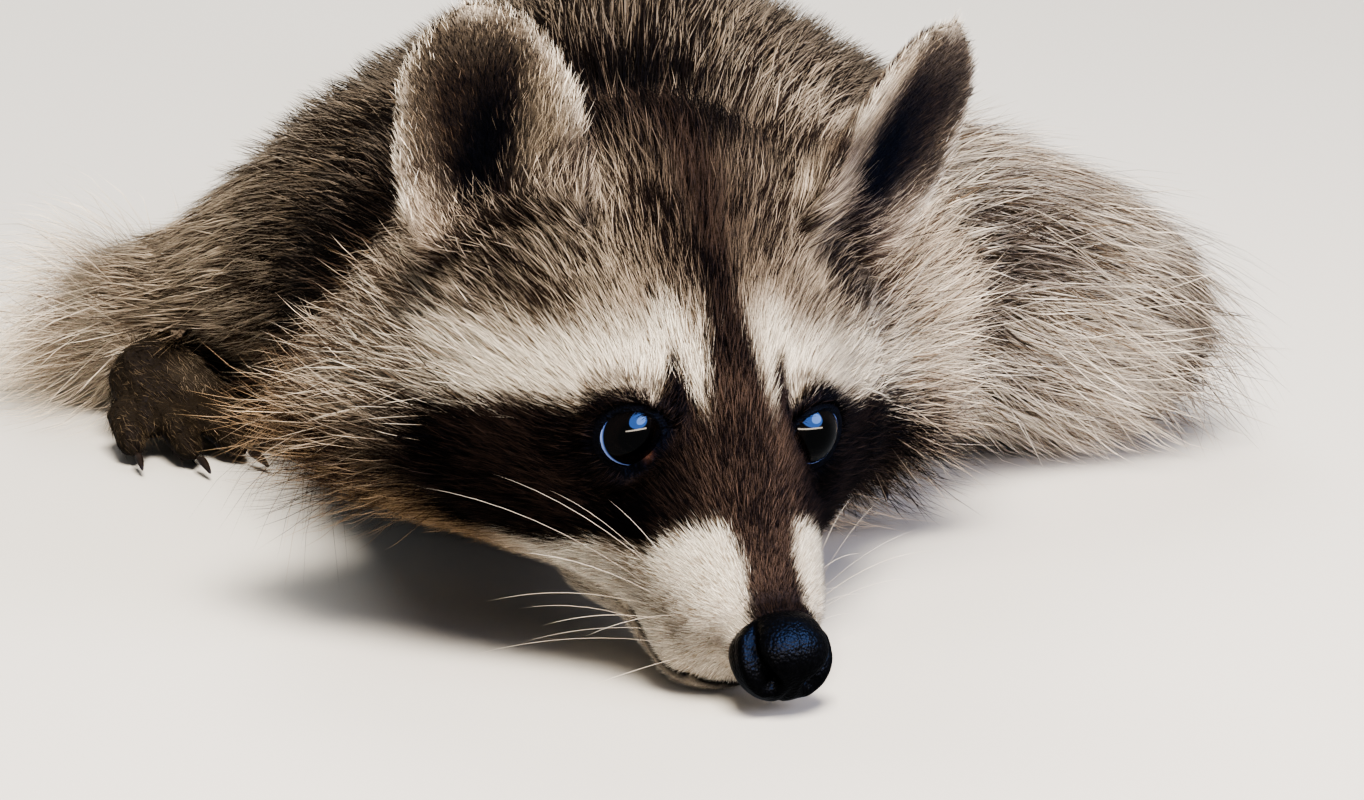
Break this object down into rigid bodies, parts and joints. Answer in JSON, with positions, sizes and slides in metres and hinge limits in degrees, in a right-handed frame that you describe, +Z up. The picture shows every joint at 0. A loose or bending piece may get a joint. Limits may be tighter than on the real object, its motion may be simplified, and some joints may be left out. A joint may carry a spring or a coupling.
{
  "type": "raccoon",
  "caption": "Life-size still model of an adult raccoon lying on its belly with its chin on the ground, head turned a little to its left and one hand beside its cheek.",
  "frame": {"origin": "on the ground under the middle of the model's box", "axes": "+Z up; the animal faces -Y, so +Y runs from its nose to its tail and +X is its left side"},
  "size_m": [0.313, 0.687, 0.1533],
  "materials": {
    "fur_grizzled": "long grizzled grey-brown coat, dark skin and underfur with pale banded tips",
    "fur_pale": "pale buff to cream coat",
    "fur_dark": "dark brown-black coat",
    "bare_skin": "black skin with thin short hair, slightly glossy at the knuckles",
    "nose": "black pebbled nose, wet gloss",
    "eye": "very dark brown eye with a wet gloss",
    "claw": "dark horn, half gloss"
  },
  "bodies": {
    "root": {"claw_foot_l_1": "claw", "claw_foot_l_2": "claw", "claw_foot_l_3": "claw", "claw_foot_l_4": "claw", "claw_foot_l_5": "claw", "claw_foot_r_1": "claw", "claw_foot_r_2": "claw", "claw_foot_r_3": "claw", "claw_foot_r_4": "claw", "claw_foot_r_5": "claw", "claw_hand_l_1": "claw", "claw_hand_l_2": "claw", "claw_hand_l_3": "claw", "claw_hand_l_4": "claw", "claw_hand_l_5": "claw", "claw_hand_r_1": "claw", "claw_hand_r_2": "claw", "claw_hand_r_3": "claw", "claw_hand_r_4": "claw", "claw_hand_r_5": "claw", "ear_l": "fur_dark", "ear_r": "fur_dark", "eye_l": "eye", "eye_r": "eye", "foot_l": "bare_skin", "foot_r": "bare_skin", "forearm_l": "fur_grizzled", "forearm_r": "fur_grizzled", "hand_l": "bare_skin", "hand_r": "bare_skin", "head": "fur_grizzled", "jaw": "fur_pale", "neck": "fur_grizzled", "nose": "nose", "shank_l": "fur_grizzled", "shank_r": "fur_grizzled", "tail_1": "fur_pale", "tail_2": "fur_dark", "tail_3": "fur_pale", "tail_4": "fur_dark", "thigh_l": "fur_grizzled", "thigh_r": "fur_grizzled", "trunk": "fur_grizzled", "upper_arm_l": "fur_grizzled", "upper_arm_r": "fur_grizzled"}
  },
  "joints": []
}
